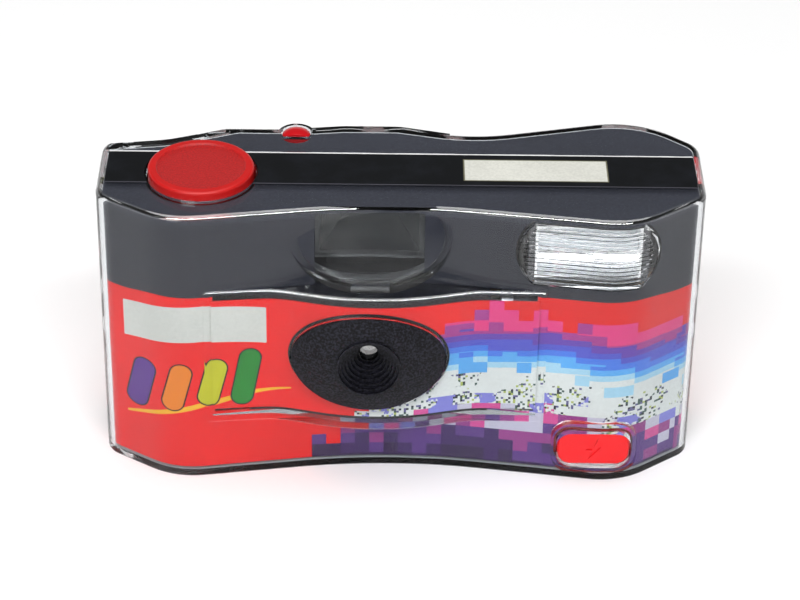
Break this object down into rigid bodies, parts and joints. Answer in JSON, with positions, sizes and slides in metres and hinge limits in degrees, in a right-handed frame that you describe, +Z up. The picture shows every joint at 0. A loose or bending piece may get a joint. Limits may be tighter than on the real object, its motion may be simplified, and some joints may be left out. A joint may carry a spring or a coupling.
{
  "type": "single-use film camera with flash",
  "caption": "Pocket film camera in a clear two-shell case over printed cards, with flash, thumb wheel, button shutter and film in a cartridge.",
  "frame": {"origin": "under the middle of the case's width, on the plane it stands on, at the middle of the side walls' depth", "axes": "+X to the right as the front is seen, +Y from the lens to the rear, +Z up"},
  "size_m": [0.11, 0.0393, 0.0584],
  "materials": {
    "clear_case": "clear, glossy",
    "printed_card": "printed and varnished",
    "rear_print": "printed and varnished",
    "seal_paper": "printed, glossy",
    "black_plastic": "fine texture",
    "lens_surround": "spark-textured",
    "frame_plastic": "moulded",
    "button_red": "semi-gloss, textured dish",
    "lamp_red": "clear red",
    "flash_clear": "ribbed, clear",
    "clear_lens": "polished",
    "glass_tube": "clear",
    "bright_metal": "polished",
    "spring_steel": "bright",
    "blackened_steel": "matt black",
    "contact_brass": "plated",
    "copper_wire": "varnished winding and ferrite",
    "board_green": "phenolic board",
    "capacitor_sleeve": "sleeved",
    "small_parts": "lacquered",
    "cell_wrap": "plain wrap",
    "cartridge_black": "moulded",
    "film_base": "grey-brown film",
    "wheel_plastic": "ribbed edge",
    "white_plastic": "moulded"
  },
  "bodies": {
    "case": {"front_cover": "clear_case", "rear_cover": "clear_case", "seal_label": "seal_paper", "front_card": "printed_card", "rear_card": "rear_print", "lens_panel": "lens_surround", "taking_lens": "clear_lens", "aperture_plate": "blackened_steel", "chassis": "frame_plastic", "inner_back": "black_plastic", "viewfinder_tube": "black_plastic", "viewfinder_lens": "clear_lens", "eyepiece_lens": "clear_lens", "film_cartridge": "cartridge_black", "film_strip": "film_base", "flash_lens": "flash_clear", "flash_reflector": "bright_metal", "flash_housing": "white_plastic", "xenon_tube": "glass_tube", "circuit_board": "board_green", "main_capacitor": "capacitor_sleeve", "transformer": "copper_wire", "trigger_coil": "copper_wire", "board_parts": "small_parts", "ready_lamp": "glass_tube", "ready_lamp_lens": "lamp_red", "switch_contact": "contact_brass", "sync_contact": "contact_brass", "battery": "cell_wrap", "battery_contact_minus": "contact_brass", "battery_contact_plus": "contact_brass", "button_spring": "spring_steel", "striker_spring": "spring_steel", "shutter_spring": "spring_steel"},
    "winding_wheel": {"thumbwheel": "wheel_plastic", "cartridge_spool": "white_plastic"},
    "supply": {"supply_spool": "black_plastic", "film_roll": "film_base"},
    "metering": {"metering_shaft": "white_plastic"},
    "counter": {"counter_disc": "white_plastic"},
    "release_button": {"shutter_button": "button_red"},
    "striker": {"striker_lever": "white_plastic"},
    "latch": {"release_latch": "white_plastic"},
    "blade": {"shutter_blade": "blackened_steel"},
    "pawl": {"ratchet_pawl": "white_plastic"},
    "flash_switch": {"flash_button": "button_red"},
    "door": {"film_door": "black_plastic"}
  },
  "joints": [
    {"name": "wheel_turn", "type": "hinge", "parent": "case", "child": "winding_wheel", "pos_m": [-0.04, -0.0005, 0.05075], "axis": [0, 0, 1], "continuous": true},
    {"name": "supply_turn", "type": "hinge", "parent": "case", "child": "supply", "pos_m": [0.0384, 0.0043, 0.02715], "axis": [0, 0, 1], "continuous": true},
    {"name": "metering_turn", "type": "hinge", "parent": "case", "child": "metering", "pos_m": [0.0123, 0.0046, 0.03795], "axis": [0, 0, 1], "continuous": true},
    {"name": "counter_turn", "type": "hinge", "parent": "case", "child": "counter", "pos_m": [0.0204, 0.0019, 0.04375], "axis": [0, 0, 1], "continuous": true},
    {"name": "button_press", "type": "slide", "parent": "case", "child": "release_button", "axis": [0, 0, -1], "range_m": [0, 0.001], "stiffness_N_per_m": 400, "springref_m": -0.003, "deforming": ["button_spring"]},
    {"name": "striker_swing", "type": "hinge", "parent": "case", "child": "striker", "pos_m": [-0.0198, 0.0015, 0.04905], "axis": [0, 0, 1], "range_deg": [0, 18], "deforming": ["striker_spring"]},
    {"name": "latch_turn", "type": "hinge", "parent": "case", "child": "latch", "pos_m": [-0.0247, 0.0008, 0.0489], "axis": [0, 0, 1], "range_deg": [-7, 0]},
    {"name": "blade_swing", "type": "hinge", "parent": "case", "child": "blade", "pos_m": [-0.0196, -0.01235, 0.04245], "axis": [0, 1, 0], "range_deg": [0, 17], "stiffness_Nm_per_rad": 0.0005, "springref_deg": -17.19, "deforming": ["shutter_spring"]},
    {"name": "pawl_swing", "type": "hinge", "parent": "case", "child": "pawl", "pos_m": [-0.033, -0.014, 0.05075], "axis": [0, 0, 1], "range_deg": [0, 6], "stiffness_Nm_per_rad": 0.0005, "springref_deg": -5.73},
    {"name": "flash_press", "type": "slide", "parent": "case", "child": "flash_switch", "axis": [0, 1, 0], "range_m": [0, 0.0008], "stiffness_N_per_m": 400, "springref_m": -0.002},
    {"name": "door_swing", "type": "hinge", "parent": "case", "child": "door", "pos_m": [-0.0306, -0.0005, 0.00095], "axis": [0, 1, 0], "range_deg": [-95, 0]}
  ],
  "couplings": [
    {"joint": "supply_turn", "follows": "wheel_turn", "ratio": 0.69},
    {"joint": "metering_turn", "follows": "wheel_turn", "ratio": 1.61},
    {"joint": "counter_turn", "follows": "wheel_turn", "ratio": -0.0537},
    {"joint": "latch_turn", "follows": "button_press", "rad_per_m": -120}
  ]
}
